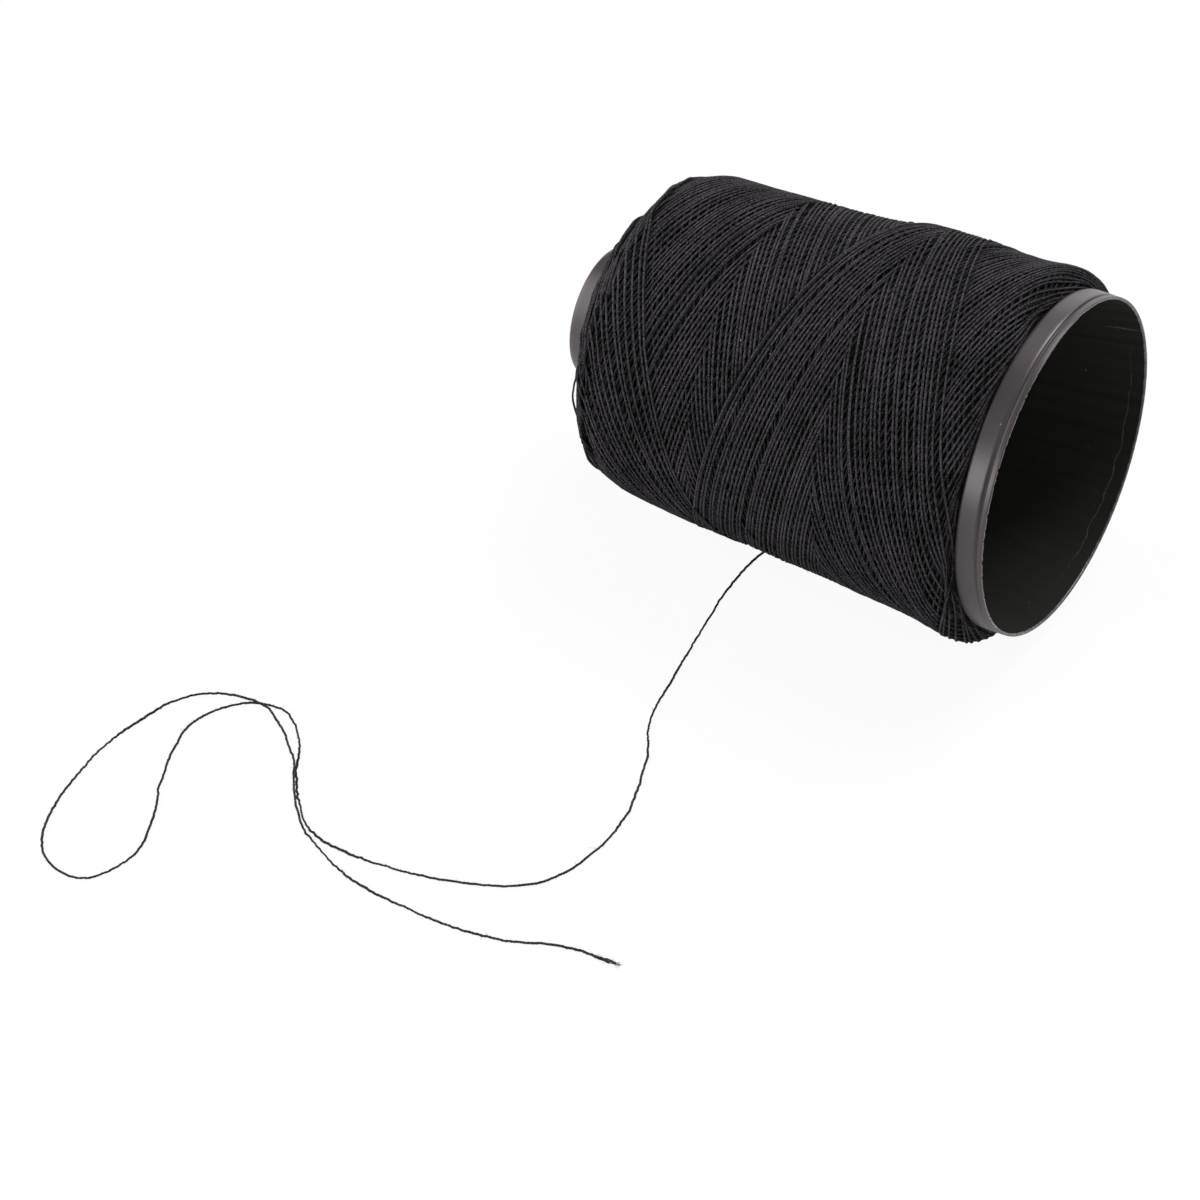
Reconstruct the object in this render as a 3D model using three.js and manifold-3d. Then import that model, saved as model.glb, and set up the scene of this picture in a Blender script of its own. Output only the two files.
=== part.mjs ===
// Reel of sewing thread: a hollow moulded cone, the thread cross-wound on it, and a loose end.
// Millimetres, +Z up. The reel lies on its tapered winding along X, with the cone's wide mouth
// towards +X, and the loose end runs out from under it towards -Y.

import * as THREE from "three";
import { mergeVertices } from "three/addons/utils/BufferGeometryUtils.js";
import Module from "manifold-3d";

// ---------------------------------------------------------------- driving dimensions

const gap = 0.3;               // between pieces that touch
const turnSegments = 72;       // facets in one full turn

// The cone. Depths are measured from the plane of its mouth towards the small end.
const cone = {
  length: 91.5,
  mouthRadius: 30,
  bodyRadius: 29,              // just behind the collar
  noseRadius: 12,
  wall: 1.3,
  noseRound: 0.9,
};
const collar = {
  length: 5.1,
  wall: 1.1,
  lipLength: 0.8,              // thin ring in front of the groove
  lipWall: 0.5,
  grooveWidth: 0.3,
  grooveDepth: 0.25,
  innerStep: 0.7,              // length of the slope inside, from the collar to the cone
};

// Outer form of the winding: each row is a station and the radius there. It bulges where the
// thread turns back near the collar, tapers, then rounds over the shoulder to the cone's nose.
const windingForm = [
  { depth: 5.4, radius: 31.0 },
  { depth: 6.9, radius: 32.0 },
  { depth: 9.1, radius: 33.2 },
  { depth: 12.1, radius: 32.7 },
  { depth: 20.0, radius: 32.3 },
  { depth: 28.0, radius: 32.0 },
  { depth: 38.3, radius: 31.2 },
  { depth: 50.4, radius: 30.5 },
  { depth: 62.5, radius: 30.0 },
  { depth: 72.6, radius: 29.1 },
  { depth: 77.7, radius: 28.2 },
  { depth: 81.2, radius: 25.7 },
  { depth: 84.2, radius: 22.0 },
  { depth: 86.6, radius: 16.6 },
  { depth: 87.6, radius: 13.9 },
];
const windingSteps = 30;       // rings of vertices along the outer form

// Where the winding swells or is drawn in. Angles go round the axis from the top towards -Y;
// each row dies out over its length along the axis and its spread in degrees.
const swells = [
  { depth: 5.4, angle: 135, height: 1.7, length: 2.5, spread: 60 },
  { depth: 9.5, angle: 135, height: 0.6, length: 6, spread: 60 },
  { depth: 29, angle: 135, height: -0.3, length: 8, spread: 50 },
  { depth: 76, angle: -40, height: 0.9, length: 7, spread: 60 },
  { depth: 33, angle: -40, height: 0.6, length: 8, spread: 60 },
  { depth: 14, angle: -40, height: -0.4, length: 5, spread: 60 },
  { depth: 9, angle: -100, height: 0.7, length: 5, spread: 40 },
];

// Main twists: the two crossing sets of turns, each with a step at its last-laid thread.
const twist = {
  height: 0.3,                 // one thread's thickness, pressed
  leadToMouth: 60,             // depth covered in one turn by the set that runs to the mouth
  leadToNose: 49,
  stepDepth: 30,               // the depth at which the two angles below are measured
  angleToMouth: 290,           // angle, from the top towards -Y, of that set's step
  angleToNose: 277,
  fade: 6,                     // length over which the step dies out at each end
};

const layTilt = THREE.MathUtils.degToRad(3.5);   // the axis rises towards the mouth
const flatDepth = 0.65;        // how far the winding is pressed flat where it rests

// The loose end: thread diameter, the height its middle keeps above the surface, and its route.
// Each row is a point of the route, with how far it is lifted where it passes over itself.
const thread = { diameter: 0.42, layHeight: 0.25, steps: 80, sides: 8 };
const looseRoute = [
  { x: -4.4, y: -8.8 },
  { x: -5.6, y: -21 },
  { x: -3.2, y: -41 },
  { x: 0.2, y: -60.1 },
  { x: 4.2, y: -67.6 },
  { x: 8.3, y: -80.6 },
  { x: 8.6, y: -89.2 },
  { x: 4.5, y: -101.6 },
  { x: -7.7, y: -108.9 },
  { x: -22, y: -112.3 },
  { x: -32.9, y: -111.9 },
  { x: -38.4, y: -107.8 },
  { x: -42.9, y: -102.6 },
  { x: -48, y: -94.8 },
  { x: -53.4, y: -90.7 },
  { x: -60.1, y: -92.6 },
  { x: -64.9, y: -101.5 },
  { x: -61.7, y: -114.3 },
  { x: -57.2, y: -123.5 },
  { x: -55.1, y: -131.1 },
  { x: -58.5, y: -139.6 },
  { x: -63.1, y: -140.8 },
  { x: -68.1, y: -138.7 },
  { x: -71.5, y: -133.8 },
  { x: -74.2, y: -121.6 },
  { x: -73.9, y: -110.8 },
  { x: -70.8, y: -98.9 },
  { x: -66.6, y: -94.3, lift: 0.3 },
  { x: -59.4, y: -91.8, lift: 0.55 },
  { x: -55.6, y: -92.3, lift: 0.35 },
  { x: -50, y: -95.6, lift: 0.15 },
  { x: -44.8, y: -100.2, lift: 0.5 },
  { x: -43.1, y: -102.9, lift: 0.55 },
  { x: -41.1, y: -105.6, lift: 0.35 },
  { x: -35.2, y: -111.5 },
  { x: -22.5, y: -116.9 },
  { x: -7, y: -117.6 },
  { x: 6, y: -115.4 },
  { x: 16.5, y: -110.8 },
  { x: 24.7, y: -110 },
];

// ---------------------------------------------------------------- materials

const blackPlastic = new THREE.MeshStandardMaterial({ color: 0x39363a, roughness: 0.45, metalness: 0 });
const blackThread = new THREE.MeshStandardMaterial({ color: 0x242226, roughness: 0.9, metalness: 0 });

// ---------------------------------------------------------------- solids and booleans

const wasm = await Module();
wasm.setup();

function bareGeometry(geometry) {
  const bare = geometry.clone();
  bare.deleteAttribute("normal");
  bare.deleteAttribute("uv");
  return mergeVertices(bare, 1e-4);
}

function toSolid(geometry) {
  const bare = bareGeometry(geometry);
  return new wasm.Manifold(new wasm.Mesh({
    numProp: 3,
    vertProperties: bare.attributes.position.array,
    triVerts: Uint32Array.from(bare.index.array),
  }));
}

function toGeometry(solid) {
  const mesh = solid.getMesh();
  const geometry = new THREE.BufferGeometry();
  geometry.setAttribute("position", new THREE.BufferAttribute(Float32Array.from(mesh.vertProperties), 3));
  geometry.setIndex(new THREE.BufferAttribute(Uint32Array.from(mesh.triVerts), 1));
  geometry.computeVertexNormals();
  return geometry;
}

// Turns a closed outline of { depth, radius } points about the X axis, its mouth at x = 0.
function turned(outline) {
  const points = [...outline, outline[0]].reverse().map((p) => new THREE.Vector2(p.radius, -p.depth));
  const geometry = bareGeometry(new THREE.LatheGeometry(points, turnSegments));
  return geometry.rotateZ(-Math.PI / 2);
}

// Points of a quarter round of the given radius, from one angle to another in degrees.
function arc(depth, radius, size, from, to, steps) {
  return Array.from({ length: steps + 1 }, (_, i) => {
    const angle = THREE.MathUtils.degToRad(from + ((to - from) * i) / steps);
    return { depth: depth + size * Math.sin(angle), radius: radius + size * Math.cos(angle) };
  });
}

// ---------------------------------------------------------------- cone

function coneRadius(depth) {
  const along = (depth - collar.length) / (cone.length - collar.length);
  return THREE.MathUtils.lerp(cone.bodyRadius, cone.noseRadius, along);
}

function coneOutline() {
  const grooveStart = collar.lipLength;
  const grooveEnd = collar.lipLength + collar.grooveWidth;
  const stepEnd = collar.length + collar.innerStep;
  return [
    { depth: 0, radius: cone.mouthRadius },
    { depth: grooveStart, radius: cone.mouthRadius },
    { depth: grooveStart, radius: cone.mouthRadius - collar.grooveDepth },
    { depth: grooveEnd, radius: cone.mouthRadius - collar.grooveDepth },
    { depth: grooveEnd, radius: cone.mouthRadius },
    { depth: collar.length, radius: cone.mouthRadius },
    { depth: collar.length, radius: cone.bodyRadius },
    ...arc(cone.length - cone.noseRound, cone.noseRadius - cone.noseRound, cone.noseRound, 0, 90, 4),
    { depth: cone.length, radius: cone.noseRadius - cone.wall },
    { depth: stepEnd, radius: coneRadius(stepEnd) - cone.wall },
    { depth: collar.length, radius: cone.mouthRadius - collar.wall },
    { depth: grooveEnd, radius: cone.mouthRadius - collar.wall },
    { depth: 0, radius: cone.mouthRadius - collar.lipWall },
  ];
}

// ---------------------------------------------------------------- winding

// Stations evenly spread along a smooth line through the form.
function smoothForm() {
  const line = new THREE.SplineCurve(windingForm.map((row) => new THREE.Vector2(row.depth, row.radius)));
  return line.getSpacedPoints(windingSteps).map((p) => ({ depth: p.x, radius: p.y }));
}

// How far one set of turns stands up at an angle and depth: it is highest at its last-laid
// thread, falls evenly round the turn away from it, then steps back up.
function setHeight(angle, depth, lead, stepAngle) {
  const turn = (angle - stepAngle) / 360 + (depth - twist.stepDepth) / lead;
  return twist.height * (0.5 - (turn - Math.floor(turn)));
}

function swellHeight(angle, depth) {
  return swells.reduce((sum, row) => {
    const turn = THREE.MathUtils.euclideanModulo(angle - row.angle + 180, 360) - 180;
    return sum + row.height * Math.exp(-(((depth - row.depth) / row.length) ** 2) - (turn / row.spread) ** 2);
  }, 0);
}

function twistHeight(angle, depth) {
  const first = windingForm[0].depth;
  const last = windingForm[windingForm.length - 1].depth;
  const fromEnd = Math.min(depth - first, last - depth);
  const fade = THREE.MathUtils.clamp(fromEnd / twist.fade, 0, 1);
  const toMouth = setHeight(angle, depth, twist.leadToMouth, twist.angleToMouth);
  const toNose = setHeight(angle, depth, -twist.leadToNose, twist.angleToNose);
  return fade * (toMouth + toNose);
}

// Adds the swells and main twists to the outer skin of the turned winding, not to its bore.
function addUnevenness(geometry) {
  const position = geometry.attributes.position;
  for (let i = 0; i < position.count; i += 1) {
    const depth = -position.getX(i);
    const y = position.getY(i);
    const z = position.getZ(i);
    const radius = Math.hypot(y, z);
    if (radius < coneRadius(depth) + 2 * gap) continue;
    const angle = THREE.MathUtils.radToDeg(Math.atan2(-y, z));
    const scale = (radius + swellHeight(angle, depth) + twistHeight(angle, depth)) / radius;
    position.setXYZ(i, -depth, y * scale, z * scale);
  }
  return geometry;
}

function windingOutline() {
  const outer = smoothForm();
  const first = outer[0].depth;
  const last = outer[outer.length - 1].depth;
  return [
    ...outer,
    { depth: last, radius: coneRadius(last) + gap },
    { depth: first, radius: coneRadius(first) + gap },
  ];
}

// Height of the mouth's centre above the surface, with the reel lying on its winding.
function restHeight() {
  const reach = smoothForm().map((p) => p.radius * Math.cos(layTilt) + p.depth * Math.sin(layTilt));
  return Math.max(...reach) - flatDepth;
}

// Cuts off what would lie below the surface, which leaves the small flat spot.
function flattened(geometry) {
  const size = 2 * cone.length;
  const below = new THREE.BoxGeometry(size, size, size).translate(0, 0, -size / 2);
  return toGeometry(toSolid(geometry).subtract(toSolid(below)));
}

// ---------------------------------------------------------------- loose end

function looseEnd() {
  const points = looseRoute.map((p) => new THREE.Vector3(p.x, p.y, thread.layHeight + (p.lift ?? 0)));
  const section = new THREE.Shape(
    Array.from({ length: thread.sides }, (_, i) => {
      const angle = (2 * Math.PI * i) / thread.sides;
      return new THREE.Vector2(Math.cos(angle), Math.sin(angle)).multiplyScalar(thread.diameter / 2);
    }),
  );
  const extrudePath = new THREE.CatmullRomCurve3(points, false, "centripetal");
  return bareGeometry(new THREE.ExtrudeGeometry(section, { steps: thread.steps, extrudePath }));
}

// ---------------------------------------------------------------- the reel, laid down

// The middle of the reel's length and width is over the origin: the mouth's lower edge reaches
// furthest to +X and the nose's upper edge furthest to -X.
const noseReach = cone.length * Math.cos(layTilt) + (cone.noseRadius - cone.noseRound) * Math.sin(layTilt);
const mouthReach = cone.mouthRadius * Math.sin(layTilt);
const mouthCentre = new THREE.Vector3((noseReach - mouthReach) / 2, 0, restHeight());
const laid = new THREE.Matrix4().makeRotationY(-layTilt).setPosition(mouthCentre);

function namedMesh(name, geometry, material) {
  const mesh = new THREE.Mesh(geometry, material);
  mesh.name = name;
  return mesh;
}

const reel = new THREE.Group();
reel.add(namedMesh("core", turned(coneOutline()).applyMatrix4(laid), blackPlastic));
const wound = addUnevenness(turned(windingOutline())).applyMatrix4(laid);
reel.add(namedMesh("winding", flattened(wound), blackThread));
reel.add(namedMesh("loose_end", looseEnd(), blackThread));

export default reel;
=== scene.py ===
# A reel of black cotton thread lying on its side: a hollow moulded cone, the thread cross-wound on
# it, and the loose end that runs out from under the winding. Metres, +Z up, mouth towards +X.

import math

import bpy
import numpy as np
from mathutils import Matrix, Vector
from mathutils.bvhtree import BVHTree


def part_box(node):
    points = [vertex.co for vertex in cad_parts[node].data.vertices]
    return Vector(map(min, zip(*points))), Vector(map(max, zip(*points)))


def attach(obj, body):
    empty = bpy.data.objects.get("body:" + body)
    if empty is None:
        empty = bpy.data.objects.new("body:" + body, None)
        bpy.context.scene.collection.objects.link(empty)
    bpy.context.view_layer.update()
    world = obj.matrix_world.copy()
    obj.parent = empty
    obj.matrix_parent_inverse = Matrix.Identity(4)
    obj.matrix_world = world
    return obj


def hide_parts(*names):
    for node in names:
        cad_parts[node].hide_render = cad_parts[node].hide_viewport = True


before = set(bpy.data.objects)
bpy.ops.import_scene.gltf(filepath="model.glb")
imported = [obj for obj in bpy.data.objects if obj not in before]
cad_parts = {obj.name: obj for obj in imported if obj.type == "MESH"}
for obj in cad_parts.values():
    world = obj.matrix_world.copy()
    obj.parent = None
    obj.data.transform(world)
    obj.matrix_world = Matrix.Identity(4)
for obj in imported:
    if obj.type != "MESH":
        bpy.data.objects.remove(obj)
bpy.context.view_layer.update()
mm = 0.001
random = np.random.default_rng(7)

# ------------------------------------------------------------------------------------------ camera
# A long lens looks down on the reel from in front of its mouth, with the loose end nearest to it.

camera_place = (0.27930, -0.52344, 0.53251)
camera_height_angle = math.radians(43.0)
camera_side_angle = math.radians(31.96)

view = bpy.data.cameras.new("camera")
view.sensor_width = 36
view.lens = 135
camera = bpy.data.objects.new("camera", view)
camera.location = camera_place
camera.rotation_euler = (math.pi / 2 - camera_height_angle, 0, camera_side_angle)
bpy.context.scene.collection.objects.link(camera)
bpy.context.scene.camera = camera

# ------------------------------------------------------------------------------ table and light
# A white table top that runs out of sight, under a broad soft-box overhead, in a dim room. Weaker
# ones stand low behind, low in front, at the small end's side and before the mouth. Seen directly,
# the table and the room are white.

boxes = [
    {"name": "overhead", "place": (0.11, 0.57, 1.06), "size": 0.7, "power": 13.5},
    {"name": "behind", "place": (-0.36, 1.15, 0.30), "size": 0.7, "power": 1.9},
    {"name": "low_front", "place": (-0.46, -1.06, 0.38), "size": 0.5, "power": 5.5},
    {"name": "small_end_side", "place": (-0.95, -0.25, 0.42), "size": 0.9, "power": 7.5},
    {"name": "mouth_side", "place": (1.00, -0.40, 0.62), "size": 0.6, "power": 1.8},
]


class Wire:
    """An output socket of a node tree. Arithmetic on it adds Math nodes to that tree."""

    def __init__(self, tree, socket):
        self.tree = tree
        self.socket = socket

    def math(self, operation, *others):
        sockets = dict(enumerate([self, *others]))
        return self.tree.add("ShaderNodeMath", {"operation": operation}, sockets)

    def __add__(self, other):
        return self.math("ADD", other)

    def __mul__(self, other):
        return self.math("MULTIPLY", other)

    def __sub__(self, other):
        return self.math("SUBTRACT", other)

    def __rsub__(self, other):
        return self * -1 + other

    def __truediv__(self, other):
        return self.math("DIVIDE", other)

    __radd__ = __add__
    __rmul__ = __mul__


class Nodes:
    """A node tree being built: add() makes one node and gives back the wire from its output."""

    def __init__(self, tree):
        self.tree = tree
        tree.nodes.clear()

    def add(self, kind, settings={}, sockets={}, out=0):
        node = self.tree.nodes.new(kind)
        for name, value in settings.items():
            setattr(node, name, value)
        for key, value in sockets.items():
            if isinstance(value, Wire):
                self.tree.links.new(value.socket, node.inputs[key])
            else:
                node.inputs[key].default_value = value
        return Wire(self, node.outputs[out]) if node.outputs else None


def new_material(name):
    material = bpy.data.materials.new(name)
    material.use_nodes = True
    return material, Nodes(material.node_tree)


def seen_white(nodes, surface, shares):
    """Mixes into the surface the share of plain white that each kind of ray sees."""
    seen = sum(nodes.add("ShaderNodeLightPath", out=ray) * share for ray, share in shares.items())
    white = nodes.add("ShaderNodeEmission", sockets={"Color": (1, 1, 1, 1), "Strength": 1.0})
    return nodes.add("ShaderNodeMixShader", sockets={0: seen, 1: surface, 2: white})


white_top, nodes = new_material("white_table")
body = nodes.add("ShaderNodeTexCoord", out="Object")
patchy = nodes.add("ShaderNodeTexNoise", sockets={"Vector": body, "Scale": 6.0, "Detail": 2.0})
tone = nodes.add("ShaderNodeMapRange", sockets={"Value": patchy, "To Min": 0.78, "To Max": 0.82})
diffuse = nodes.add("ShaderNodeBsdfDiffuse", sockets={"Color": tone})

# Away from the reel the table turns plain white, so that its far edge doesn't show.
away = nodes.add("ShaderNodeVectorMath", {"operation": "LENGTH"}, {0: body}, out="Value")
plain = nodes.add("ShaderNodeMapRange", sockets={
    "Value": away, "From Min": 0.2, "From Max": 0.7, "To Min": 0.94, "To Max": 1.0})
shares = {"Is Camera Ray": plain, "Is Transmission Ray": 0.88, "Is Glossy Ray": 0.38}
nodes.add("ShaderNodeOutputMaterial", sockets={"Surface": seen_white(nodes, diffuse, shares)})

table_half = 1.5
corners = [(x * table_half, y * table_half, 0) for x, y in ((-1, -1), (1, -1), (1, 1), (-1, 1))]
mesh = bpy.data.meshes.new("table")
mesh.from_pydata(corners, [], [(0, 1, 2, 3)])
mesh.materials.append(white_top)
table = bpy.data.objects.new("table", mesh)
bpy.context.scene.collection.objects.link(table)

room_light = 0.15              # what the room gives the object, of the white that is seen directly
world = bpy.data.worlds.new("room")
world.use_nodes = True
nodes = Nodes(world.node_tree)
ray = {name: nodes.add("ShaderNodeLightPath", out=name)
       for name in ("Is Camera Ray", "Is Glossy Ray", "Is Transmission Ray")}
direct = ray["Is Camera Ray"].math("MAXIMUM", ray["Is Transmission Ray"])
strength = room_light + direct * (1 - room_light)
nodes.add("ShaderNodeOutputWorld", sockets={
    "Surface": nodes.add("ShaderNodeBackground", sockets={"Color": (1, 1, 1, 1), "Strength": strength})})
bpy.context.scene.world = world
bpy.context.scene.view_settings.view_transform = "Standard"

for box in boxes:
    lamp = bpy.data.lights.new(box["name"], "AREA")
    lamp.size = box["size"]
    lamp.energy = box["power"]
    light = bpy.data.objects.new(box["name"], lamp)
    light.location = box["place"]
    light.rotation_euler = (-Vector(box["place"])).to_track_quat("-Z", "Y").to_euler()
    bpy.context.scene.collection.objects.link(light)

# ---------------------------------------------------------------------------------- the loose end
# The last of the thread: three cotton plies twisted hard together, soft enough to lie in kinks and
# to pass over itself. It comes out of the wedge under the winding, and its cut tip has frayed.

thread_diameter = 0.42 * mm
lay_height = 0.25 * mm         # of the thread's middle, where it lies on the table
loose_route = [                # x, y and lift over itself, in millimetres
    (-4.4, -8.8, 0), (-5.6, -21, 0), (-3.2, -41, 0), (0.2, -60.1, 0), (4.2, -67.6, 0),
    (8.3, -80.6, 0), (8.6, -89.2, 0), (4.5, -101.6, 0), (-7.7, -108.9, 0), (-22, -112.3, 0),
    (-32.9, -111.9, 0), (-38.4, -107.8, 0), (-42.9, -102.6, 0), (-48, -94.8, 0),
    (-53.4, -90.7, 0), (-60.1, -92.6, 0), (-64.9, -101.5, 0), (-61.7, -114.3, 0),
    (-57.2, -123.5, 0), (-55.1, -131.1, 0), (-58.5, -139.6, 0), (-63.1, -140.8, 0),
    (-68.1, -138.7, 0), (-71.5, -133.8, 0), (-74.2, -121.6, 0), (-73.9, -110.8, 0),
    (-70.8, -98.9, 0), (-66.6, -94.3, 0.3), (-59.4, -91.8, 0.55), (-55.6, -92.3, 0.35),
    (-50, -95.6, 0.15), (-44.8, -100.2, 0.5), (-43.1, -102.9, 0.55), (-41.1, -105.6, 0.35),
    (-35.2, -111.5, 0), (-22.5, -116.9, 0), (-7, -117.6, 0), (6, -115.4, 0),
    (16.5, -110.8, 0), (24.7, -110, 0),
]
loose_exit = (-4.4 * mm, -8.8 * mm, lay_height)


def smooth_line(points, step):
    """A centripetal Catmull-Rom line through the points, resampled evenly at about that step."""
    points = np.array(points)
    points = np.vstack([2 * points[0] - points[1], points, 2 * points[-1] - points[-2]])
    knots = np.concatenate([[0], np.cumsum(np.linalg.norm(np.diff(points, axis=0), axis=1) ** 0.5)])
    line = []
    for p, t in zip(np.lib.stride_tricks.sliding_window_view(points, 4, axis=0),
                    np.lib.stride_tricks.sliding_window_view(knots, 4)):
        p = p.T
        u = np.linspace(t[1], t[2], 40, endpoint=False)[:, None]
        a = [((t[i + 1] - u) * p[i] + (u - t[i]) * p[i + 1]) / (t[i + 1] - t[i]) for i in range(3)]
        b = [((t[i + 2] - u) * a[i] + (u - t[i]) * a[i + 1]) / (t[i + 2] - t[i]) for i in range(2)]
        line.append(((t[2] - u) * b[0] + (u - t[1]) * b[1]) / (t[2] - t[1]))
    line = np.vstack([*line, points[-2]])
    along = np.concatenate([[0], np.cumsum(np.linalg.norm(np.diff(line, axis=0), axis=1))])
    even = np.linspace(0, along[-1], round(along[-1] / step) + 1)
    return np.stack([np.interp(even, along, line[:, i]) for i in range(3)], axis=1)


def wander(count, spacing, size):
    """A smooth random wave of that many values, which turns about every spacing of them."""
    knots = random.normal(0, size, int(count / spacing) + 4)
    at = np.arange(count) / spacing
    i = at.astype(int)
    f = (1 - np.cos((at - i) * math.pi)) / 2
    return knots[i] * (1 - f) + knots[i + 1] * f


def add_piece(name, mesh):
    """Makes an object of the mesh that rides on the reel and takes its finish from the slot."""
    piece = bpy.data.objects.new(name, mesh)
    bpy.context.scene.collection.objects.link(piece)
    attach(piece, "root")
    return piece


def line_mesh(name, lines):
    """A mesh of open lines of points, each a (points, shade) pair. Shade is kept on the points."""
    counts = [len(points) for points, shade in lines]
    starts = np.cumsum([0, *counts[:-1]])
    edges = np.vstack([np.stack([np.arange(s, s + n - 1), np.arange(s + 1, s + n)], axis=1)
                       for s, n in zip(starts, counts)])
    mesh = bpy.data.meshes.new(name)
    mesh.vertices.add(sum(counts))
    mesh.vertices.foreach_set("co", np.vstack([points for points, shade in lines]).ravel())
    mesh.edges.add(len(edges))
    mesh.edges.foreach_set("vertices", edges.ravel())
    shades = np.concatenate([np.broadcast_to(shade, n) for (points, shade), n in zip(lines, counts)])
    mesh.attributes.new("shade", "FLOAT", "POINT").data.foreach_set("value", shades.astype(np.float32))
    return mesh


def new_tree(name, inputs):
    """An empty Geometry Nodes tree with these inputs, {name: kind}, and the wire from each."""
    tree = bpy.data.node_groups.new(name, "GeometryNodeTree")
    nodes = Nodes(tree)
    tree.interface.new_socket("Geometry", in_out="OUTPUT", socket_type="NodeSocketGeometry")
    for label, kind in {"Geometry": "Geometry", **inputs}.items():
        tree.interface.new_socket(label, in_out="INPUT", socket_type="NodeSocket" + kind)
    entry = tree.nodes.new("NodeGroupInput")
    return tree, nodes, {label: Wire(nodes, entry.outputs[label]) for label in ["Geometry", *inputs]}


def end_tree(nodes, geometry, material):
    """Closes a tree: what it made becomes one plain mesh with its material."""
    real = nodes.add("GeometryNodeRealizeInstances", sockets={"Geometry": geometry})
    done = nodes.add("GeometryNodeSetMaterial", sockets={"Geometry": real, "Material": material})
    nodes.add("NodeGroupOutput", sockets={"Geometry": done})


def run_tree(name, mesh, tree, values):
    """What the tree makes of the mesh with these input values, as a plain mesh."""
    carrier = bpy.data.objects.new(name, mesh)
    bpy.context.scene.collection.objects.link(carrier)
    modifier = carrier.modifiers.new(name, "NODES")
    modifier.node_group = tree
    for item in tree.interface.items_tree:
        if item.in_out == "INPUT" and item.name in values:
            modifier[item.identifier] = values[item.name]
    depsgraph = bpy.context.evaluated_depsgraph_get()
    made = bpy.data.meshes.new_from_object(
        carrier.evaluated_get(depsgraph), preserve_all_data_layers=True, depsgraph=depsgraph)
    bpy.data.objects.remove(carrier)
    made.name = name
    return made


# Tubes along the lines of a mesh. With more plies than one, each line becomes that many, twisted
# round each other. Over the frayed length they spread, swell, and end one after the other.
fray_spread, fray_swell = 1.6, 0.5
ply_setback, ply_taper = 0.22, 0.12    # shares of the frayed length
cut_size = 0.15                # of a ply's end, against its full thickness
thread_tree, nodes, given = new_tree("thread", {
    "Diameter": "Float", "Sides": "Int", "Plies": "Int", "Twist Length": "Float",
    "Ply Spread": "Float", "Frayed": "Float", "Unevenness": "Float", "Finish": "Material"})
line = nodes.add("GeometryNodeMeshToCurve", sockets={"Mesh": given["Geometry"]})
line = nodes.add("GeometryNodeDuplicateElements", {"domain": "SPLINE"},
                 {"Geometry": line, "Amount": given["Plies"]})
ply = Wire(nodes, line.socket.node.outputs["Duplicate Index"])
along = nodes.add("GeometryNodeSplineParameter", out="Length")
share = nodes.add("GeometryNodeSplineParameter", out="Factor")
line = nodes.add("GeometryNodeStoreNamedAttribute", {"data_type": "FLOAT", "domain": "POINT"},
                 {"Geometry": line, "Name": "along", "Value": along})
along = nodes.add("GeometryNodeInputNamedAttribute", {"data_type": "FLOAT"}, {"Name": "along"})
left = along / share - along
fray = nodes.add("ShaderNodeMapRange", {"interpolation_type": "SMOOTHSTEP"},
                 {"Value": left, "From Min": 0.0, "From Max": given["Frayed"],
                  "To Min": 1.0, "To Max": 0.0})
untwisted = (given["Frayed"] - left).math("MAXIMUM", 0.0).math("POWER", 2.0) / given["Frayed"] / 2
turned = (along - untwisted) / given["Twist Length"] * math.tau + ply / given["Plies"] * math.tau
normal = nodes.add("GeometryNodeInputNormal")
tangent = nodes.add("GeometryNodeInputTangent")
across = nodes.add("ShaderNodeVectorMath", {"operation": "CROSS_PRODUCT"}, {0: tangent, 1: normal})
slub = nodes.add("ShaderNodeTexNoise", {"noise_dimensions": "1D"},
                 {"W": along * 100 + ply * 0.4, "Scale": 1.0, "Detail": 2.0})
slub = 1 + (slub - 0.5) * given["Unevenness"]
spread = given["Ply Spread"] * slub * (1 + fray * fray_spread)
aside = nodes.add("ShaderNodeVectorMath", {"operation": "SCALE"},
                  {0: normal, "Scale": turned.math("COSINE") * spread})
above = nodes.add("ShaderNodeVectorMath", {"operation": "SCALE"},
                  {0: across, "Scale": turned.math("SINE") * spread})
offset = nodes.add("ShaderNodeVectorMath", {"operation": "ADD"}, {0: aside, 1: above})
line = nodes.add("GeometryNodeSetPosition", sockets={"Geometry": line, "Offset": offset})
cut = nodes.add("ShaderNodeMapRange", {"interpolation_type": "SMOOTHSTEP"},
                {"Value": left - ply * given["Frayed"] * ply_setback, "From Min": 0.0,
                 "From Max": given["Frayed"] * ply_taper, "To Min": cut_size, "To Max": 1.0})
thickness = slub * (1 + fray * fray_swell) * cut
ring = nodes.add("GeometryNodeCurvePrimitiveCircle",
                 sockets={"Resolution": given["Sides"], "Radius": given["Diameter"] * 0.5})
place = nodes.add("GeometryNodeInputPosition")
ring = nodes.add("GeometryNodeStoreNamedAttribute", {"data_type": "FLOAT_VECTOR", "domain": "POINT"},
                 {"Geometry": ring, "Name": "round", "Value": place})
tube = nodes.add("GeometryNodeCurveToMesh",
                 sockets={"Curve": line, "Profile Curve": ring, "Scale": thickness, "Fill Caps": True})
tube = nodes.add("GeometryNodeSetShadeSmooth", sockets={"Geometry": tube})
end_tree(nodes, tube, given["Finish"])


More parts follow.
